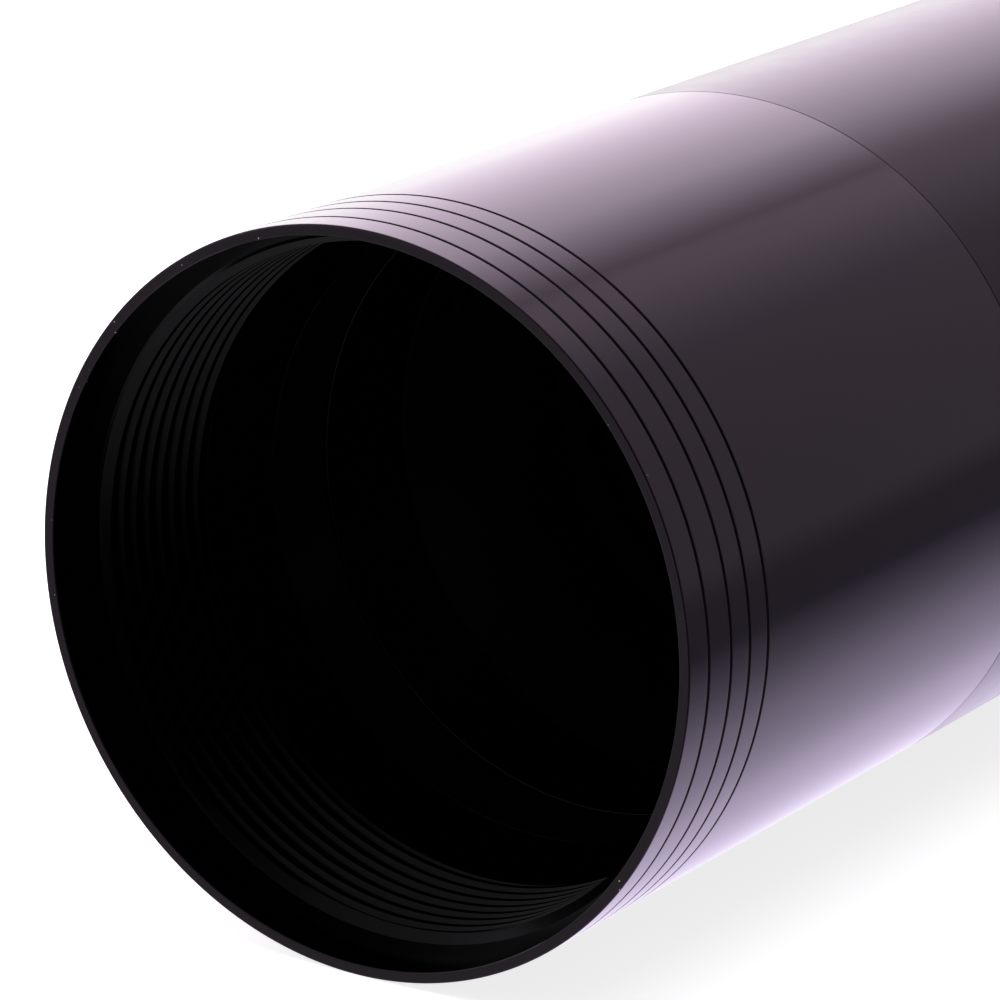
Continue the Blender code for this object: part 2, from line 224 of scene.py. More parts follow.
def turned(outline, columns=COLUMNS, threads=(), ease=EASE, sweep=None, reshape=same_radius):
    """A bmesh of the outline spun about Y. sweep is the first and last angle of a piece with a gap."""
    solid = bmesh.new()
    whole = sweep is None
    first, last = sweep or (0, math.tau)
    steps = columns if whole else columns - 1
    angles = [first + (last - first) * column / steps for column in range(columns)]
    keep = {end for thread in threads for end in (thread.start, thread.end)}
    outline = eased(outline, ease, keep)
    for ends in zip(outline, outline[1:] + outline[:1]):
        stations = sorted(station for _, station in ends)
        thread = next((t for t in threads if stations == [t.start, t.end]), None)
        if thread:
            add_thread(solid, thread, angles)
        else:
            add_band(solid, ends, angles, whole, reshape)
    bmesh.ops.remove_doubles(solid, verts=solid.verts, dist=MERGE)
    if not whole:
        open_edges = [edge for edge in solid.edges if edge.is_boundary]
        bmesh.ops.holes_fill(solid, edges=open_edges, sides=0)
    bmesh.ops.recalc_face_normals(solid, faces=solid.faces)
    return solid


def plain_object(name, solid, place):
    """A linked object that uses up the bmesh. place is its frame."""
    mesh = bpy.data.meshes.new(name)
    solid.to_mesh(mesh)
    solid.free()
    made = bpy.data.objects.new(name, mesh)
    bpy.context.scene.collection.objects.link(made)
    made.matrix_world = place
    return made


def cut_away(piece, cutters):
    """Takes the cutters' shapes out of the piece for good and removes them."""
    for cutter in cutters:
        boolean = piece.modifiers.new(cutter.name, "BOOLEAN")
        boolean.operation = "DIFFERENCE"
        boolean.solver = "EXACT"
        boolean.object = cutter
    evaluated = piece.evaluated_get(bpy.context.evaluated_depsgraph_get())
    result = bpy.data.meshes.new_from_object(evaluated)
    piece.modifiers.clear()
    piece.data = result
    for cutter in cutters:
        bpy.data.objects.remove(cutter)


def finished(
    name, solid, place, body, node, slot, finish, cutters=(), inner=None, is_inner=None, upright=False
):
    """The piece with its shading, body and material; its slot argument is not used. Faces picked by
    is_inner take the inner one.

    upright gives the object the tube's frame, which makes the box round a slanted piece a tight one.
    """
    piece = plain_object(name, solid, place)
    if cutters:
        cut_away(piece, cutters)
    mesh = piece.data
    if upright:
        mesh.transform(TUBE.inverted() @ place)
        piece.matrix_world = TUBE
    mesh.name = name
    mesh.materials.clear()
    mesh.materials.append(finish)
    if inner:
        mesh.materials.append(inner)
        for face in mesh.polygons:
            across = math.hypot(face.center.x, face.center.z) / MM
            face.material_index = int(is_inner(across, face.center.y / MM))
    mesh.shade_smooth()
    mesh.set_sharp_from_angle(angle=SHARP)
    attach(piece, body)
    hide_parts(node)


def ring(inner, outer, start, end):
    """The outline of a plain ring. Stations and radii are in millimetres here and below."""
    return [(inner, start), (outer, start), (outer, end), (inner, end)]


def rod(radius, start, end):
    return [(0, start), (radius, start), (radius, end), (0, end)]


def hole(radius, start, end, place, columns=SCREW_COLUMNS):
    """A cutter for a round hole, or a hexagonal one with 6 columns."""
    return plain_object("cutter", turned(rod(radius, start, end), columns, ease=0), place)


def slot_cutter(across, start, depth, width):
    """A bar across a ring's first face, which leaves a spanner slot on either side."""
    solid = bmesh.new()
    bmesh.ops.create_cube(solid, size=MM)
    bmesh.ops.scale(solid, vec=Vector((across, 2 * depth, width)), verts=solid.verts)
    bmesh.ops.translate(solid, vec=Vector((0, start, 0)) * MM, verts=solid.verts)
    return plain_object("cutter", solid, TUBE)


# ---------------------------------------------------------------------------------------------- materials


# Where a Mix node keeps its colours, since its sockets share their names with those for other types
MIX_FIRST = 6
MIX_SECOND = 7
MIX_RESULT = 2


class Nodes:
    """A short way to write a node tree round one Principled shader."""

    def __init__(self, name, frame_of_marks=TUBE):
        self.material = bpy.data.materials.new(name)
        self.material.use_nodes = True
        self.tree = self.material.node_tree
        self.shader = self.tree.nodes["Principled BSDF"]
        self.place = self.add("ShaderNodeTexCoord").outputs["Object"]
        if frame_of_marks != TUBE:
            self.place = self.moved_to(frame_of_marks)

    def add(self, kind, **values):
        node = self.tree.nodes.new(kind)
        for name, value in values.items():
            setattr(node, name, value)
        return node

    def link(self, source, target):
        self.tree.links.new(source, target)

    def moved_to(self, other):
        """The coordinates in another frame, for a piece whose own frame is the tube's."""
        mapping = self.add("ShaderNodeMapping")
        change = other.inverted() @ TUBE
        mapping.inputs["Location"].default_value = change.to_translation()
        mapping.inputs["Rotation"].default_value = change.to_euler()
        self.link(self.place, mapping.inputs["Vector"])
        return mapping.outputs["Vector"]

    def stretched(self, scale):
        mapping = self.add("ShaderNodeMapping")
        mapping.inputs["Scale"].default_value = scale
        self.link(self.place, mapping.inputs["Vector"])
        return mapping.outputs["Vector"]

    def noise(self, scale, detail=3.0, place=None):
        node = self.add("ShaderNodeTexNoise")
        node.inputs["Scale"].default_value = scale
        node.inputs["Detail"].default_value = detail
        self.link(place or self.place, node.inputs["Vector"])
        return node.outputs["Fac"]

    def specks(self, spacing, size):
        """1 inside small round dots, about the given spacing apart."""
        node = self.add("ShaderNodeTexVoronoi")
        node.inputs["Scale"].default_value = 1 / (spacing * MM)
        self.link(self.place, node.inputs["Vector"])
        return self.ranged(node.outputs["Distance"], (size / spacing, 0.6 * size / spacing), (0, 1))

    def ranged(self, value, given, wanted):
        node = self.add("ShaderNodeMapRange")
        node.inputs["From Min"].default_value, node.inputs["From Max"].default_value = given
        node.inputs["To Min"].default_value, node.inputs["To Max"].default_value = wanted
        self.link(value, node.inputs["Value"])
        return node.outputs["Result"]

    def times(self, one, other):
        node = self.add("ShaderNodeMath", operation="MULTIPLY")
        self.link(one, node.inputs[0])
        self.link(other, node.inputs[1])
        return node.outputs["Value"]

    def plus(self, one, other):
        node = self.add("ShaderNodeMath", operation="ADD", use_clamp=True)
        self.link(one, node.inputs[0])
        self.link(other, node.inputs[1])
        return node.outputs["Value"]

    def mixed(self, share, first, second):
        node = self.add("ShaderNodeMix", data_type="RGBA")
        self.link(share, node.inputs["Factor"])
        for value, socket in ((first, node.inputs[MIX_FIRST]), (second, node.inputs[MIX_SECOND])):
            if isinstance(value, tuple):
                socket.default_value = (*value, 1)
            else:
                self.link(value, socket)
        return node.outputs[MIX_RESULT]

    def bump(self, height, distance):
        node = self.add("ShaderNodeBump")
        node.inputs["Distance"].default_value = distance * MM
        self.link(height, node.inputs["Height"])
        self.link(node.outputs["Normal"], self.shader.inputs["Normal"])

    def set(self, **values):
        for name, value in values.items():
            socket = self.shader.inputs[name.replace("_", " ")]
            if isinstance(value, bpy.types.NodeSocket):
                self.link(value, socket)
            else:
                socket.default_value = value


ANODISED_TINT = (1.0, 0.8, 1.02, 1.0)  # the dye's faint purple, seen only away from grazing angles
SATIN_TINT = (1.0, 0.7, 1.0, 1.0)
BORE_TINT = (0.9, 0.9, 1.0, 1.0)
COATING_TINT = (0.35, 0.75, 0.55, 1.0)
GLOSS_BLACK = (0.0036, 0.0032, 0.004)
DUST = (0.35, 0.34, 0.33)
DUST_END = 0.3  # the last station, in the piece's own frame, with any dust
DUST_SPACING = 0.55
DUST_SIZE = 0.045
DUST_ROUGHNESS = 0.6
NOISE_MIDDLE = (0.3, 0.7)  # the range that most of a noise's values fall in


def shaded(tone, share):
    return tuple(channel * share for channel in tone)


def lathe_marks(nodes, per_mm):
    """Fine rings round the piece's axis, uneven along it."""
    return nodes.noise(1.0, 2.0, nodes.stretched((15, per_mm / MM, 15)))


def anodised(
    name, tone, roughness, marks_depth, marks_per_mm, sheen=0.5, tint=ANODISED_TINT, frame_of_marks=TUBE
):
    """Dyed aluminium, with a little dust where the piece begins at its frame's origin, as the rim does."""
    nodes = Nodes(name, frame_of_marks)
    colour = nodes.mixed(nodes.noise(180), shaded(tone, 0.7), tone)
    split = nodes.add("ShaderNodeSeparateXYZ")
    nodes.link(nodes.place, split.inputs["Vector"])
    on_rim = nodes.ranged(split.outputs["Y"], (DUST_END * MM, 0), (0, 1))
    in_patches = nodes.ranged(nodes.noise(260), (0.5, 0.56), (0, 1))
    specks = nodes.specks(DUST_SPACING, DUST_SIZE)
    dust = nodes.times(nodes.times(specks, in_patches), on_rim)
    rough = nodes.ranged(nodes.noise(420), NOISE_MIDDLE, (roughness * 0.94, roughness * 1.06))
    dusty = nodes.ranged(dust, (0, 1), (0, DUST_ROUGHNESS))
    nodes.set(
        Base_Color=nodes.mixed(dust, colour, DUST),
        Roughness=nodes.plus(rough, dusty),
        IOR=1.5,
        Specular_IOR_Level=sheen,
        Specular_Tint=tint,
    )
    nodes.bump(lathe_marks(nodes, marks_per_mm), marks_depth)
    return nodes.material


def turned_metal(name, tone, roughness, marks_depth, marks_per_mm):
    """Bare or plated metal, clouded a little, with rings left by the lathe."""
    nodes = Nodes(name)
    nodes.set(
        Base_Color=nodes.mixed(nodes.noise(150), shaded(tone, 0.82), tone),
        Roughness=nodes.ranged(nodes.noise(500), NOISE_MIDDLE, (roughness * 0.7, roughness * 1.3)),
        Metallic=1.0,
    )
    nodes.bump(lathe_marks(nodes, marks_per_mm), marks_depth)
    return nodes.material


def moulded(name, tone, shade, roughness, grain):
    """Nylon, rubber or ground glass: two close tones and a fine grain."""
    nodes = Nodes(name)
    nodes.set(
        Base_Color=nodes.mixed(nodes.noise(900), shade, tone),
        Roughness=nodes.ranged(nodes.noise(1500), NOISE_MIDDLE, (roughness * 0.85, roughness * 1.1)),
    )
    nodes.bump(nodes.noise(4000, 4.0), grain)
    return nodes.material


def coated_glass(name):
    """Clear glass with a coating's green reflection and a few faint smears."""
    nodes = Nodes(name)
    nodes.set(
        Base_Color=nodes.mixed(nodes.noise(60), (0.97, 0.985, 1.0), (1.0, 1.0, 1.0)),
        Roughness=nodes.ranged(nodes.noise(140), (0.55, 0.75), (0.0, 0.015)),
        IOR=1.52,
        Transmission_Weight=1.0,
        Specular_Tint=COATING_TINT,
    )
    return nodes.material


FINISH = {
    "gloss_black_anodised": anodised(
        "gloss_black_anodised", GLOSS_BLACK, roughness=0.07, marks_depth=0.00012, marks_per_mm=9
    ),
    "satin_black_anodised": anodised(
        "satin_black_anodised",
        (0.006, 0.0053, 0.0065),
        roughness=0.2,
        marks_depth=0.0003,
        marks_per_mm=14,
        sheen=0.29,
        tint=SATIN_TINT,
    ),
    "matt_black_anodised": anodised(
        "matt_black_anodised",
        (0.003, 0.003, 0.003),
        roughness=0.5,
        marks_depth=0.0006,
        marks_per_mm=10,
        sheen=0.3,
    ),
    "chrome": turned_metal(
        "chrome", (0.78, 0.79, 0.81), roughness=0.09, marks_depth=0.00015, marks_per_mm=8
    ),
    "steel": turned_metal("steel", (0.2, 0.2, 0.21), roughness=0.24, marks_depth=0.0004, marks_per_mm=12),
    "blackened_brass": anodised(
        "blackened_brass",
        (0.0028, 0.0024, 0.002),
        roughness=0.4,
        marks_depth=0.0004,
        marks_per_mm=8,
        sheen=0.2,
    ),
    "nylon": moulded("nylon", (0.7, 0.68, 0.6), shade=(0.6, 0.58, 0.5), roughness=0.45, grain=0.002),
    "rubber": moulded(
        "rubber", (0.014, 0.014, 0.014), shade=(0.009, 0.009, 0.009), roughness=0.6, grain=0.003
    ),
    "glass": coated_glass("glass"),
}
KNOB_BLACK = anodised(
    "knob_black",
    GLOSS_BLACK,
    roughness=0.12,
    marks_depth=0.00012,
    marks_per_mm=9,
    frame_of_marks=CLAMP,
)
# Black for the sleeve's inside: rougher and less shiny than its outside, with a far darker base colour that
# is painted shade inside the bore
BORE_BLACK_AND_SHADE = anodised(
    "bore_black_and_shade",
    (0.0003, 0.0003, 0.0003),
    roughness=0.2,
    marks_depth=0.0003,
    marks_per_mm=9,
    sheen=0.25,
    tint=BORE_TINT,
)
GROUND_EDGE = moulded(
    "ground_glass_edge", (0.02, 0.02, 0.02), shade=(0.012, 0.012, 0.012), roughness=0.7, grain=0.003
)


# ------------------------------------------------------------------------------------- sleeve and the tube

RIM_INNER_R = 17.44
SLEEVE_SHADE_R = RIM_INNER_R + 0.05  # the painted shade of the bore reaches out to here, taking in the recess with its rounded edge
SLEEVE_SHADE_FROM = 0.1  # keeps the rim's face glossy and clear of the painted shade
RECESS_DEPTH = 2.8
LEAD_IN_R = 17.0
CREST_R = 16.5
SOCKET_R = 15.9
THREAD_END = 11.0
SOCKET_START = 14.2
GROOVE_STATIONS = (1.67, 3.57, 5.19, 6.79)
TAIL_GROOVE_STATIONS = (79.2, 81.1)
GROOVE_HALF = 0.09
GROOVE_DEPTH = 0.12
JOINT_GAP = 0.02
JOINT_CHAMFER = 0.03
SPIGOT_START = 27.2
SPIGOT_R = 16.9
SLIP = 0.15
BUSH_R = 3.2
BUSH_START = 16.75
BUSH_SEAT = BUSH_START - 0.05
PAD_HOLE_R = 2.1
LOCK_HOLE_R = 1.3
HOLE_OVERSHOOT = 1.0  # how far a cutter reaches past the wall that it cuts
AROUND_HOLE = 4.0  # keeps the long bands of faces clear of the bush's hole
RING_GROOVE_R = 16.6
RING_GROOVE_HALF = 2.4
WAIST_R = 14.6
WAIST_START = 44.0
WAIST_END = 62.0
RIBBED = (45.0, 61.0)
RIB_PITCH = 0.5
RIB_DEPTH = 0.3
RIB_SLOPE = 0.8  # the share of a rib's pitch that its long side takes
SPACER_BORE_R = 15.15
SEAT_START = 84.4
SEAT_R = 16.6
TUBE_DARK_R = 16.7
TUBE_END_CHAMFER = 0.5

MOUTH_THREAD = Thread(
    start=RECESS_DEPTH,
    end=THREAD_END,
    crest=CREST_R,
    pitch=1.0,
    side=1,
    root=3.2,
    start_chamfer=LEAD_IN_R - CREST_R,
    end_runout=0.6,
)


def grooves(stations):
    """Outline points of the shallow grooves engraved round the outside of the body."""
    points = []
    for station in stations:
        points += [
            (BODY_R, station - GROOVE_HALF),
            (BODY_R - GROOVE_DEPTH, station - GROOVE_HALF / 3),
            (BODY_R - GROOVE_DEPTH, station + GROOVE_HALF / 3),
            (BODY_R, station + GROOVE_HALF),
        ]
    return points


def ribs(radius, start, end):
    """Outline points of fine glare ribs cut into a bore, from the last station to the first."""
    points = []
    for rib in range(int((end - start) / RIB_PITCH), 0, -1):
        station = start + rib * RIB_PITCH
        points += [(radius, station), (radius + RIB_DEPTH, station - RIB_PITCH * RIB_SLOPE)]
    return points


def make_sleeve():
    end = size_of("eyepiece_sleeve")[1]
    outline = [
        (RIM_INNER_R, 0),
        (BODY_R, 0),
        *grooves(GROOVE_STATIONS),
        (BODY_R, CLAMP_STATION - AROUND_HOLE),
        (BODY_R, CLAMP_STATION + AROUND_HOLE),
        (BODY_R, end - JOINT_CHAMFER),
        (BODY_R - JOINT_CHAMFER, end),
        (SPIGOT_R + SLIP, end),
        (SPIGOT_R + SLIP, SPIGOT_START - SLIP),
        (SOCKET_R, SPIGOT_START - SLIP),
        (SOCKET_R, CLAMP_STATION + RING_GROOVE_HALF),
        (RING_GROOVE_R, CLAMP_STATION + RING_GROOVE_HALF),
        (RING_GROOVE_R, CLAMP_STATION - RING_GROOVE_HALF),
        (SOCKET_R, CLAMP_STATION - RING_GROOVE_HALF),
        (SOCKET_R, SOCKET_START),
        (CREST_R, THREAD_END),
        (LEAD_IN_R, RECESS_DEPTH),
        (RIM_INNER_R, RECESS_DEPTH),
    ]
    finished(
        "sleeve_turned",
        turned(outline, threads=[MOUTH_THREAD]),
        TUBE,
        "tube",
        "eyepiece_sleeve",
        "gloss_black_anodised",
        FINISH["gloss_black_anodised"],
        cutters=[
            hole(PAD_HOLE_R, SOCKET_R - HOLE_OVERSHOOT, BODY_R + HOLE_OVERSHOOT, CLAMP),
            hole(BUSH_R + SLIP, BUSH_SEAT, BODY_R + HOLE_OVERSHOOT, CLAMP),
            hole(LOCK_HOLE_R, SOCKET_R - HOLE_OVERSHOOT, BODY_R + HOLE_OVERSHOOT, LOCK),
        ],
        # the inside faces take the darker black, which is painted shade of the bore
        inner=BORE_BLACK_AND_SHADE,
        is_inner=lambda across, station: across < SLEEVE_SHADE_R and station > SLEEVE_SHADE_FROM,
    )


def make_main_tube():
    start = size_of("eyepiece_sleeve")[1] + JOINT_GAP
    end = size_of("main_tube")[1]
    outline = [
        (SOCKET_R, SPIGOT_START),
        (SPIGOT_R, SPIGOT_START),
        (SPIGOT_R, start),
        (BODY_R - JOINT_CHAMFER, start),
        (BODY_R, start + JOINT_CHAMFER),
        *grooves(TAIL_GROOVE_STATIONS),
        (BODY_R, end - TUBE_END_CHAMFER),
        (BODY_R - TUBE_END_CHAMFER, end),
        (SEAT_R, end),
        (SEAT_R, SEAT_START),
        (SPACER_BORE_R, SEAT_START),
        (SPACER_BORE_R, WAIST_END),
        (WAIST_R, WAIST_END),
        *ribs(WAIST_R, *RIBBED),
        (WAIST_R, WAIST_START),
        (SOCKET_R, WAIST_START),
    ]
    finished(
        "tube_turned",
        turned(outline, ease=0.06),
        TUBE,
        "tube",
        "main_tube",
        "satin_black_anodised",
        FINISH["satin_black_anodised"],
        cutters=[hole(LOCK_HOLE_R, SOCKET_R - HOLE_OVERSHOOT, SPIGOT_R + SLIP, LOCK)],
        inner=FINISH["matt_black_anodised"],
        is_inner=lambda across, station: across < TUBE_DARK_R,
    )


LOCK_TIP = 16.1
LOCK_TIP_R = 0.7
LOCK_R = 1.15
LOCK_TIP_CHAMFER = LOCK_R - LOCK_TIP_R
LOCK_TOP = 17.85
LOCK_TOP_CHAMFER = 0.1
HEX_R = 0.65
HEX_BOTTOM = 16.85
HEX_CUT_END = 18.5  # past the screw's top


def make_lock_screw():
    outline = [
        (0, LOCK_TIP),
        (LOCK_TIP_R, LOCK_TIP),
        (LOCK_R, LOCK_TIP + LOCK_TIP_CHAMFER),
        (LOCK_R, LOCK_TOP - LOCK_TOP_CHAMFER),
        (LOCK_R - LOCK_TOP_CHAMFER, LOCK_TOP),
        (0, LOCK_TOP),
    ]
    finished(
        "lock_screw_cut",
        turned(outline, SCREW_COLUMNS, ease=0.04),
        LOCK,
        "tube",
        "sleeve_lock_screw",
        "steel",
        FINISH["steel"],
        cutters=[hole(HEX_R, HEX_BOTTOM, HEX_CUT_END, LOCK, columns=6)],
    )


# ---------------------------------------------------------------------------------------- eyepiece clamp

RING_SWEEP = (math.radians(97), math.radians(439))
RING_SPAN = (CLAMP_STATION - 2.2, CLAMP_STATION + 2.2)
RING_INNER_R = 15.95
RING_OUTER_R = 16.4
BUSH_END = 18.8
PAD_START = 16.7
PAD_R = 1.8
PAD_LIP_R = 1.4
PAD_CUP_R = 1.25
PAD_LIP = 17.25
PAD_CUP = 17.1
SCREW_R = 1.95
SCREW_TIP = 17.4
SCREW_END = 24.0
SHANK_R = 1.85
COLLAR_START = 19.1
COLLAR_END = 20.15
COLLAR_R = 3.0
KNOB_START = 20.3
KNOB_END = 27.0
KNOB_R = 4.42
KNOB_CHAMFER = 0.6
KNOB_BORE_R = 2.05
KNOB_BORE_END = 24.15
NECK_R = 3.9
NECK_CHAMFER = 0.2
NECK_END = 20.9
NECK_FILLET = 0.45
DISH_R = 2.8
DISH_DEPTH = 0.3
KNURL_START = 21.3
KNURL_DEPTH = 0.26
KNURL_TEETH = 40
CHAMFER_STEPS = 4

SCREW_THREAD = Thread(
    start=SCREW_TIP,
    end=COLLAR_START,
    crest=SCREW_R,
    pitch=0.7,
    side=-1,
    start_chamfer=0.4,
    end_runout=0.3,
)


def knurled(radius, station, angle):
    """Straight teeth that run out into the knob's chamfers."""
    if station < KNURL_START:
        return radius
    tooth = (1 - math.cos(KNURL_TEETH * angle)) / 2
    return min(radius, KNOB_R - KNURL_DEPTH * tooth)


def chamfer_rows(outer, size, start, way):
    """Outline points down a 45 degree chamfer that begins at the outer radius. way is 1 or -1."""
    steps = [size * step / CHAMFER_STEPS for step in range(CHAMFER_STEPS + 1)]
    return [(outer - step, start + way * step) for step in steps]


BUSH_THREAD = Thread(
    start=BUSH_START,
    end=BUSH_END,
    crest=SCREW_R + 0.05,
    pitch=0.7,
    side=1,
    root=0.35,
    start_chamfer=0.4,
    end_chamfer=0.4,
)


def make_clamp():
    thread_mouth = BUSH_THREAD.crest + BUSH_THREAD.end_chamfer
    bush_outline = ring(thread_mouth, BUSH_R, BUSH_THREAD.start, BUSH_THREAD.end)
    pad_outline = [
        (0, PAD_START),
        (PAD_R, PAD_START),
        (PAD_R, PAD_LIP),
        (PAD_LIP_R, PAD_LIP),
        (PAD_CUP_R, PAD_CUP),
        (0, PAD_CUP),
    ]
    finished(
        "compression_ring_split",
        turned(ring(RING_INNER_R, RING_OUTER_R, *RING_SPAN), ease=0.12, sweep=RING_SWEEP),
        TUBE,
        "tube",
        "compression_ring",
        "blackened_brass",
        FINISH["blackened_brass"],
    )
    finished(
        "bush_turned",
        turned(bush_outline, SCREW_COLUMNS, threads=[BUSH_THREAD]),
        CLAMP,
        "tube",
        "thumb_screw_bush",
        "blackened_brass",
        FINISH["blackened_brass"],
    )
    finished(
        "pad_moulded",
        turned(pad_outline, SCREW_COLUMNS),
        CLAMP,
        "clamp_pad",
        "clamp_pad",
        "nylon",
        FINISH["nylon"],
    )
    screw_outline = [
        (0, SCREW_TIP),
        (SCREW_R - SCREW_THREAD.start_chamfer, SCREW_TIP),
        (SCREW_R, COLLAR_START),
        (COLLAR_R, COLLAR_START),
        (COLLAR_R, COLLAR_END),
        (SHANK_R, COLLAR_END),
        (SHANK_R, SCREW_END),
        (0, SCREW_END),
    ]
    finished(
        "screw_threaded",
        turned(screw_outline, SCREW_COLUMNS, threads=[SCREW_THREAD]),
        CLAMP,
        "thumb_screw",
        "thumb_screw",
        "steel",
        FINISH["steel"],
    )
    chamfer_top = KNOB_END - KNOB_CHAMFER
    knob_outline = [
        (0, KNOB_BORE_END),
        (KNOB_BORE_R, KNOB_BORE_END),
        (KNOB_BORE_R, KNOB_START),
        (NECK_R - NECK_CHAMFER, KNOB_START),
        (NECK_R, KNOB_START + NECK_CHAMFER),
        (NECK_R, NECK_END),
        *reversed(chamfer_rows(KNOB_R, NECK_FILLET, KNURL_START + NECK_FILLET, -1)),
        *chamfer_rows(KNOB_R, KNOB_CHAMFER, chamfer_top, 1),
        (DISH_R + DISH_DEPTH, KNOB_END),
        (DISH_R, KNOB_END - DISH_DEPTH),
        (0, KNOB_END - DISH_DEPTH),
    ]
    finished(
        "knob_knurled",
        turned(knob_outline, ease=0.05, reshape=knurled),
        CLAMP,
        "thumb_screw",
        "thumb_screw_knob",
        "gloss_black_anodised",
        KNOB_BLACK,
        upright=True,
    )


# ------------------------------------------------------------------------------- pieces inside the tube

SLOT_WIDTH = 1.2
SLOT_DEPTH = 0.7
BAFFLE_THICK = 0.9
BAFFLE_BEVEL = 0.7
LOCK_RING_PITCH = 0.5
LOCK_RING_CHAMFER = 0.3
SPACER = (14.3, 15.0, 63.2, 77.2)  # inner and outer radius, start and end
SPACER_RIBBED = (64.2, 76.4)


def in_tube(name, solid, body, node, slot, **more):
    finished(name, solid, TUBE, body, node, slot, FINISH[slot], **more)


def make_baffle(name, node, start, outer, stop):
    end = start + BAFFLE_THICK
    outline = [
        (stop + BAFFLE_BEVEL, start),
        (outer, start),
        (outer, end),
        (stop, end),
        (stop, start + BAFFLE_BEVEL),
    ]
    in_tube(name, turned(outline, ease=0.06), "tube", node, "matt_black_anodised")


def screwed_ring(name, body, node, start, end, inner, outer, bevel):
    """A ring threaded outside, with two spanner slots and a bevelled aperture."""
    chamfer = LOCK_RING_CHAMFER
    thread = Thread(start, end, outer, LOCK_RING_PITCH, -1, start_chamfer=chamfer, end_chamfer=chamfer)
    outline = [
        (inner + bevel, start),
        (outer - chamfer, start),
        (outer - chamfer, end),
        (inner, end),
        (inner, start + bevel),
    ]
    in_tube(
        name,
        turned(outline, threads=[thread], ease=0.05),
        body,
        node,
        "matt_black_anodised",
        cutters=[slot_cutter(2 * (outer + HOLE_OVERSHOOT), start, SLOT_DEPTH, SLOT_WIDTH)],
    )


def make_tube_insides():
    make_baffle("upper_baffle_turned", "upper_baffle", start=42.95, outer=15.75, stop=12.5)
    make_baffle("lower_baffle_turned", "lower_baffle", start=62.15, outer=15.0, stop=11.5)
    screwed_ring(
        "baffle_ring_screwed",
        "tube",
        "baffle_lock_ring",
        start=41.1,
        end=42.8,
        inner=14.3,
        outer=15.75,
        bevel=0.3,
    )
    spacer_outline = ring(*SPACER) + ribs(SPACER[0], *SPACER_RIBBED)
    in_tube("spacer_ribbed", turned(spacer_outline), "tube", "baffle_spacer", "matt_black_anodised")


# --------------------------------------------------------------------------------- nosepiece and lenses

CELL_BORE_R = 14.05
NOSE_START = 78.6
NOSE_SPIGOT_R = 15.0
FLANGE_START = 86.15
FLANGE_END = 87.75
FLANGE_R = 17.3
FLANGE_TEETH_FROM = FLANGE_R - 0.01  # the smallest radius that gets teeth
FLANGE_TEETH = 60
FLANGE_TOOTH = 0.16
FLANGE_START_CHAMFER = 0.2
FLANGE_END_CHAMFER = 0.25
BARREL_R = 15.85
UNDERCUT = (95.0, 104.0)
UNDERCUT_DEPTH = 0.6
NOSE_END = 116.0
NOSE_END_CHAMFER = 0.5
NOSE_DARK_R = 14.2
NOSE_DARK_END = NOSE_END - 0.2  # keeps the end's face bright
FILTER_CREST_R = 13.95
FILTER_CHAMFER = 0.4
FILTER_START = 108.0
NOSE_BORE_R = 13.3
CELL_BORE_END = 93.1
SEAL_R = 15.75
SEAL_STATION = 85.2
SEAL_THICK_R = 0.65
SEAL_SIDES = 90

NOSE_THREAD = Thread(79.2, 85.6, NOSE_SPIGOT_R, 0.75, -1, start_chamfer=0.45, end_runout=0.6)
FILTER_THREAD = Thread(
    start=FILTER_START + 0.8,
    end=NOSE_END,
    crest=FILTER_CREST_R,
    pitch=0.6,
    side=1,
    start_runout=0.5,
    end_chamfer=FILTER_CHAMFER,
)


def coin_edge(radius, station, angle):
    """Straight teeth on the widest part of the flange, and the same radius everywhere else."""
    if radius < FLANGE_TEETH_FROM:
        return radius
    off_tooth = abs(angle * FLANGE_TEETH / math.tau % 1 - 0.5)
    return radius - 2 * FLANGE_TOOTH * off_tooth


def make_nosepiece():
    nose_tip_r = NOSE_SPIGOT_R - NOSE_THREAD.start_chamfer
    undercut_start, undercut_end = UNDERCUT
    outline = [
        (CELL_BORE_R, NOSE_START),
        (nose_tip_r, NOSE_START),
        (nose_tip_r, NOSE_THREAD.start),
        (NOSE_SPIGOT_R, NOSE_THREAD.end),
        (NOSE_SPIGOT_R, FLANGE_START),
        (FLANGE_R - FLANGE_START_CHAMFER, FLANGE_START),
        (FLANGE_R, FLANGE_START + FLANGE_START_CHAMFER),
        (FLANGE_R, FLANGE_END - FLANGE_END_CHAMFER),
        (FLANGE_R - FLANGE_END_CHAMFER, FLANGE_END),
        (BARREL_R, FLANGE_END),
        (BARREL_R, undercut_start),
        (BARREL_R - UNDERCUT_DEPTH, undercut_start + UNDERCUT_DEPTH),
        (BARREL_R - UNDERCUT_DEPTH, undercut_end - UNDERCUT_DEPTH),
        (BARREL_R, undercut_end),
        (BARREL_R, NOSE_END - NOSE_END_CHAMFER),
        (BARREL_R - NOSE_END_CHAMFER, NOSE_END),
        (FILTER_CREST_R + FILTER_CHAMFER, NOSE_END),
        (FILTER_CREST_R, FILTER_THREAD.start),
        (FILTER_CREST_R, FILTER_START),
        (NOSE_BORE_R, FILTER_START),
        (NOSE_BORE_R, CELL_BORE_END),
        (CELL_BORE_R, CELL_BORE_END),
    ]
    in_tube(
        "nosepiece_turned",
        turned(outline, threads=[NOSE_THREAD, FILTER_THREAD], reshape=coin_edge),
        "nosepiece",
        "nosepiece",
        "chrome",
        inner=FINISH["matt_black_anodised"],
        is_inner=lambda across, station: across < NOSE_DARK_R and station < NOSE_DARK_END,
    )
    sides = [math.tau * side / SEAL_SIDES for side in range(SEAL_SIDES)]
    seal_outline = [
        (SEAL_R + SEAL_THICK_R * math.cos(side), SEAL_STATION + SEAL_THICK_R * math.sin(side))
        for side in sides
    ]
    in_tube("seal_moulded", turned(seal_outline, ease=0), "nosepiece_seal", "nosepiece_seal", "rubber")


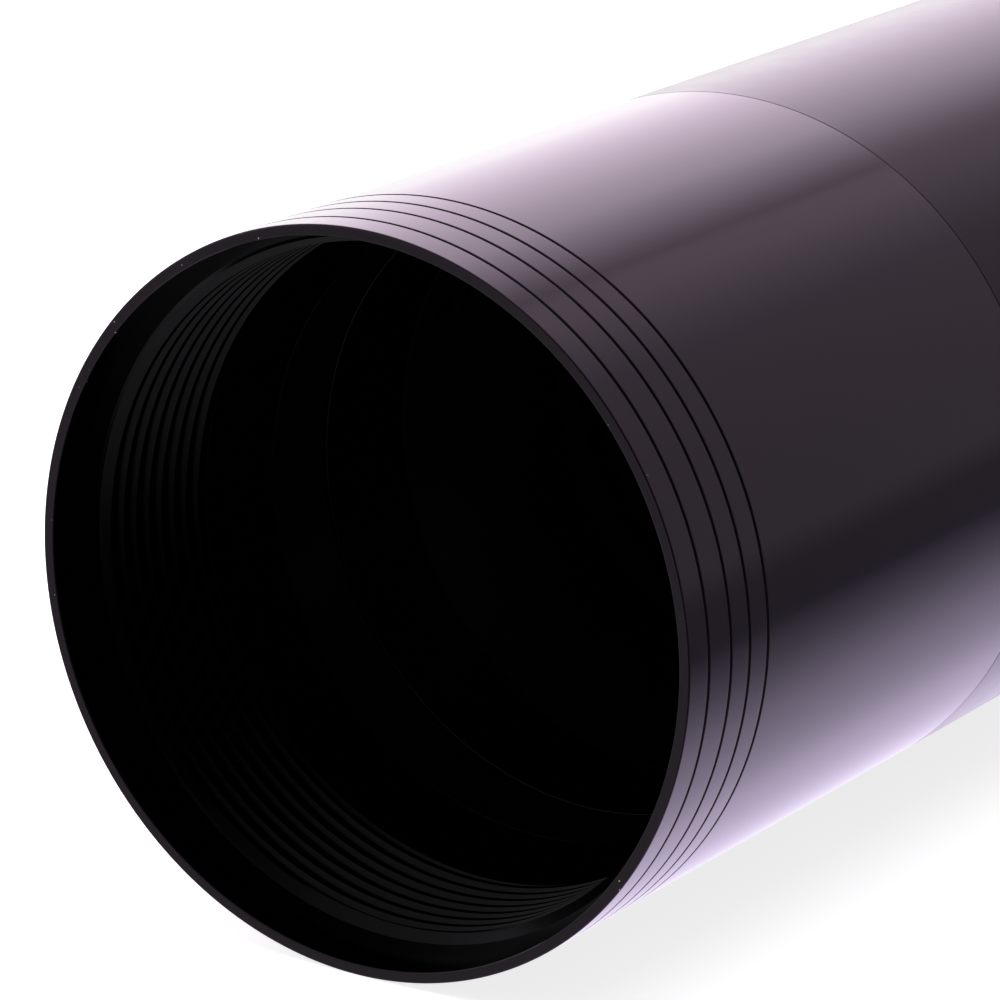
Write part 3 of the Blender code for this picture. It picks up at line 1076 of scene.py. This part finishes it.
CELL_R = 13.85
CELL_START = 80.6
CELL_END = 92.9
CELL_RELIEF = (82.4, 85.25)
CELL_RELIEF_DEPTH = 0.25
CELL_SEAT_R = 12.6
CELL_SEAT_END = 91.7
APERTURE_R = 11.3
APERTURE_CHAMFER = 0.3

CELL_THREAD = Thread(CELL_START, 84.2, CELL_SEAT_R, 0.5, 1, start_chamfer=0.3, end_runout=0.4)


def make_cell():
    relief_start, relief_end = CELL_RELIEF
    cell_outline = [
        (CELL_SEAT_R + CELL_THREAD.start_chamfer, CELL_START),
        (CELL_R, CELL_START),
        (CELL_R, relief_start),
        (CELL_R - CELL_RELIEF_DEPTH, relief_start + CELL_RELIEF_DEPTH),
        (CELL_R - CELL_RELIEF_DEPTH, relief_end - CELL_RELIEF_DEPTH),
        (CELL_R, relief_end),
        (CELL_R, CELL_END),
        (APERTURE_R + APERTURE_CHAMFER, CELL_END),
        (APERTURE_R, CELL_END - APERTURE_CHAMFER),
        (APERTURE_R, CELL_SEAT_END),
        (CELL_SEAT_R, CELL_SEAT_END),
        (CELL_SEAT_R, CELL_THREAD.end),
    ]
    cell = turned(cell_outline, threads=[CELL_THREAD], ease=0.06)
    in_tube("cell_turned", cell, "nosepiece", "lens_cell", "matt_black_anodised")
    screwed_ring(
        "cell_ring_screwed",
        "nosepiece",
        "cell_lock_ring",
        start=79.0,
        end=80.4,
        inner=12.2,
        outer=CELL_R,
        bevel=0.3,
    )
    screwed_ring(
        "retainer_screwed",
        "nosepiece",
        "lens_retaining_ring",
        start=81.0,
        end=82.9,
        inner=APERTURE_R,
        outer=12.45,
        bevel=0.5,
    )
    washer = turned(ring(APERTURE_R, LENS_R, start=91.35, end=91.6), ease=0.2)
    in_tube("washer_moulded", washer, "nosepiece", "lens_seat_washer", "nylon")


LENS_R = 12.4
LENS_CURVE_R = 33.6
LENS_BEVEL = 0.2
LENS_STEPS = 24
LENS_TOP = 83.1  # where the biconcave element's first face would reach its rim without the bevel
LENS_MIDDLE_THICK = 1.6
CEMENT_GAP = 0.05
LENS_FLAT = 91.25


def sag(radius):
    """How far a lens face has curved away from its middle at the radius."""
    return LENS_CURVE_R - math.sqrt(LENS_CURVE_R**2 - radius**2)


def make_lenses():
    """Two polished elements with ground, bevelled rims."""
    radii = [(LENS_R - LENS_BEVEL) * step / LENS_STEPS for step in range(LENS_STEPS + 1)]
    top_centre = LENS_TOP + sag(LENS_R)
    low_centre = top_centre + LENS_MIDDLE_THICK
    bulge_centre = low_centre + CEMENT_GAP
    rim_start = top_centre - sag(LENS_R - LENS_BEVEL) + LENS_BEVEL
    rim_end = low_centre + sag(LENS_R - LENS_BEVEL) - LENS_BEVEL
    top_face = [(radius, top_centre - sag(radius)) for radius in radii]
    low_face = [(radius, low_centre + sag(radius)) for radius in reversed(radii)]
    bulge = [(radius, bulge_centre + sag(radius)) for radius in radii]
    bulge_rim = [
        (LENS_R, bulge_centre + sag(LENS_R)),
        (LENS_R, LENS_FLAT - LENS_BEVEL),
        (LENS_R - LENS_BEVEL, LENS_FLAT),
        (0, LENS_FLAT),
    ]
    biconcave = top_face + [(LENS_R, rim_start), (LENS_R, rim_end)] + low_face
    shapes = (
        ("biconcave_polished", "biconcave_element", biconcave),
        ("planoconvex_polished", "planoconvex_element", bulge + bulge_rim),
    )
    for name, node, outline in shapes:
        in_tube(
            name,
            turned(outline, ease=0),
            "nosepiece",
            node,
            "glass",
            inner=GROUND_EDGE,
            is_inner=lambda across, station: across > LENS_R - LENS_BEVEL,
        )


make_sleeve()
make_main_tube()
make_lock_screw()
make_clamp()
make_tube_insides()
make_nosepiece()
make_cell()
make_lenses()


# ------------------------------------------------------------------------------------------ light and view


def make_world():
    """The studio: rings of light ahead of the mouth and behind it, white to the eye and through glass."""
    world = bpy.data.worlds.new("studio")
    world.use_nodes = True
    tree = world.node_tree
    tree.nodes.clear()

    def add(kind, **values):
        node = tree.nodes.new(kind)
        for name, value in values.items():
            setattr(node, name, value)
        return node

    def ring_of_light(share, table):
        ramp = add("ShaderNodeValToRGB")
        stops = ramp.color_ramp.elements
        for angle, *_ in table[1:-1]:
            stops.new(angle / 360 + 0.5)
        for stop, (_, light, tint) in zip(stops, table):
            stop.color = (*(light / BRIGHTEST * channel for channel in tint), 1)
        tree.links.new(share, ramp.inputs["Fac"])
        return ramp.outputs["Color"]

    way = add("ShaderNodeTexCoord").outputs["Generated"]
    split = add("ShaderNodeSeparateXYZ")
    tree.links.new(way, split.inputs["Vector"])
    roll = add("ShaderNodeMath", operation="ARCTAN2")
    tree.links.new(split.outputs["X"], roll.inputs[0])
    tree.links.new(split.outputs["Z"], roll.inputs[1])
    share = add("ShaderNodeMapRange")
    share.inputs["From Min"].default_value = -math.pi
    share.inputs["From Max"].default_value = math.pi
    tree.links.new(roll.outputs["Value"], share.inputs["Value"])
    ahead = add("ShaderNodeMapRange")
    ahead.interpolation_type = "SMOOTHSTEP"
    ahead.inputs["From Min"].default_value = ALL_BEHIND
    ahead.inputs["From Max"].default_value = ALL_AHEAD
    tree.links.new(split.outputs["Y"], ahead.inputs["Value"])
    both = add("ShaderNodeMix", data_type="RGBA")
    tree.links.new(ahead.outputs["Result"], both.inputs["Factor"])
    tree.links.new(ring_of_light(share.outputs["Result"], RING_BEHIND), both.inputs[MIX_FIRST])
    tree.links.new(ring_of_light(share.outputs["Result"], RING_AHEAD), both.inputs[MIX_SECOND])
    studio = add("ShaderNodeBackground")
    studio.inputs["Strength"].default_value = BRIGHTEST
    tree.links.new(both.outputs[MIX_RESULT], studio.inputs["Color"])
    white = add("ShaderNodeBackground")
    white.inputs["Color"].default_value = (1, 1, 1, 1)
    white.inputs["Strength"].default_value = 1.0
    path = add("ShaderNodeLightPath")
    seen = add("ShaderNodeMath", operation="MAXIMUM")
    tree.links.new(path.outputs["Is Camera Ray"], seen.inputs[0])
    tree.links.new(path.outputs["Is Transmission Ray"], seen.inputs[1])
    choice = add("ShaderNodeMixShader")
    tree.links.new(seen.outputs["Value"], choice.inputs["Fac"])
    tree.links.new(studio.outputs["Background"], choice.inputs[1])
    tree.links.new(white.outputs["Background"], choice.inputs[2])
    output = add("ShaderNodeOutputWorld")
    tree.links.new(choice.outputs["Shader"], output.inputs["Surface"])
    bpy.context.scene.world = world


# The rings of light blend between these values of a direction's Y
ALL_BEHIND = -0.3
ALL_AHEAD = 0.5

NEUTRAL = (1.0, 1.0, 1.0)
FAINTLY_WARM = (1.0, 0.93, 1.0)
HALF_WARM = (1.0, 0.87, 1.0)
WARM = (1.0, 0.84, 1.0)
COOL = (0.99, 0.87, 1.17)

# Light round the tube: degrees clockwise from up, looking along +Y, radiance and tint
RING_AHEAD = (
    (-180, 1.5, COOL),
    (-150, 1.4, COOL),
    (-125, 1.12, FAINTLY_WARM),
    (-100, 1.4, NEUTRAL),
    (-85, 2.1, FAINTLY_WARM),
    (-72, 2.36, HALF_WARM),
    (-60, 2.4, WARM),
    (-45, 2.28, WARM),
    (-30, 2.02, WARM),
    (-8, 0.73, WARM),
    (-5, 0.6, WARM),
    (-2, 0.75, WARM),
    (6, 0.76, WARM),
    (30, 0.43, WARM),
    (94, 0.32, WARM),
    (104, 0.17, WARM),
    (118, 0.14, COOL),
    (133, 0.52, COOL),
    (148, 1.0, COOL),
    (162, 1.22, COOL),
    (180, 1.5, COOL),
)
RING_BEHIND = (
    (-180, 0.5, NEUTRAL),
    (-150, 0.42, NEUTRAL),
    (-108, 0.32, NEUTRAL),
    (-92, 0.6, NEUTRAL),
    (-72, 0.6, NEUTRAL),
    (-58, 0.34, NEUTRAL),
    (-23, 0.26, NEUTRAL),
    (0, 0.1, NEUTRAL),
    (30, 0.012, NEUTRAL),
    (110, 0.012, NEUTRAL),
    (128, 0.05, NEUTRAL),
    (150, 0.25, NEUTRAL),
    (180, 0.5, NEUTRAL),
)
BRIGHTEST = max(light for _, light, _ in RING_AHEAD)


FLOOR_HALF = 3.0
FLOOR_GLOW = 0.8  # leaves only a faint shadow on the white paper
SOFTBOX_SIZE = 1.6
SOFTBOX_POWER = 9.0
SOFTBOX_HEIGHT = 1.2


def make_floor():
    solid = bmesh.new()
    bmesh.ops.create_grid(solid, x_segments=8, y_segments=8, size=FLOOR_HALF)
    floor = plain_object("floor", solid, Matrix.Identity(4))
    nodes = Nodes("pale_floor")
    nodes.set(
        Base_Color=nodes.mixed(nodes.noise(3), (0.93, 0.93, 0.93), (0.95, 0.95, 0.95)),
        Roughness=0.9,
        Emission_Color=(1, 1, 1, 1),
        Emission_Strength=FLOOR_GLOW,
    )
    floor.data.materials.append(nodes.material)
    floor.visible_glossy = False


def make_light():
    data = bpy.data.lights.new("overhead_softbox", "AREA")
    data.shape = "DISK"
    data.size = SOFTBOX_SIZE
    data.energy = SOFTBOX_POWER
    lamp = bpy.data.objects.new("overhead_softbox", data)
    bpy.context.scene.collection.objects.link(lamp)
    lamp.location = (0, 0, SOFTBOX_HEIGHT)
    lamp.visible_glossy = False
    lamp.visible_camera = False


CAMERA_OFFSET = Vector((133.385, -189.871, 75.475))  # from the middle of the mouth rim
CAMERA_DOWN = math.radians(16.848)
CAMERA_LEFT = math.radians(33.438)
CAMERA_LENS = 191.67
SENSOR_WIDTH = 36


def make_camera():
    data = bpy.data.cameras.new("camera")
    data.lens = CAMERA_LENS
    data.sensor_width = SENSOR_WIDTH
    data.clip_start = 0.01
    data.clip_end = 20
    camera = bpy.data.objects.new("camera", data)
    bpy.context.scene.collection.objects.link(camera)
    camera.location = MOUTH + CAMERA_OFFSET * MM
    camera.rotation_euler = (math.pi / 2 - CAMERA_DOWN, 0, CAMERA_LEFT)
    bpy.context.scene.camera = camera


make_world()
make_floor()
make_light()
make_camera()
bpy.context.scene.view_settings.view_transform = "Standard"
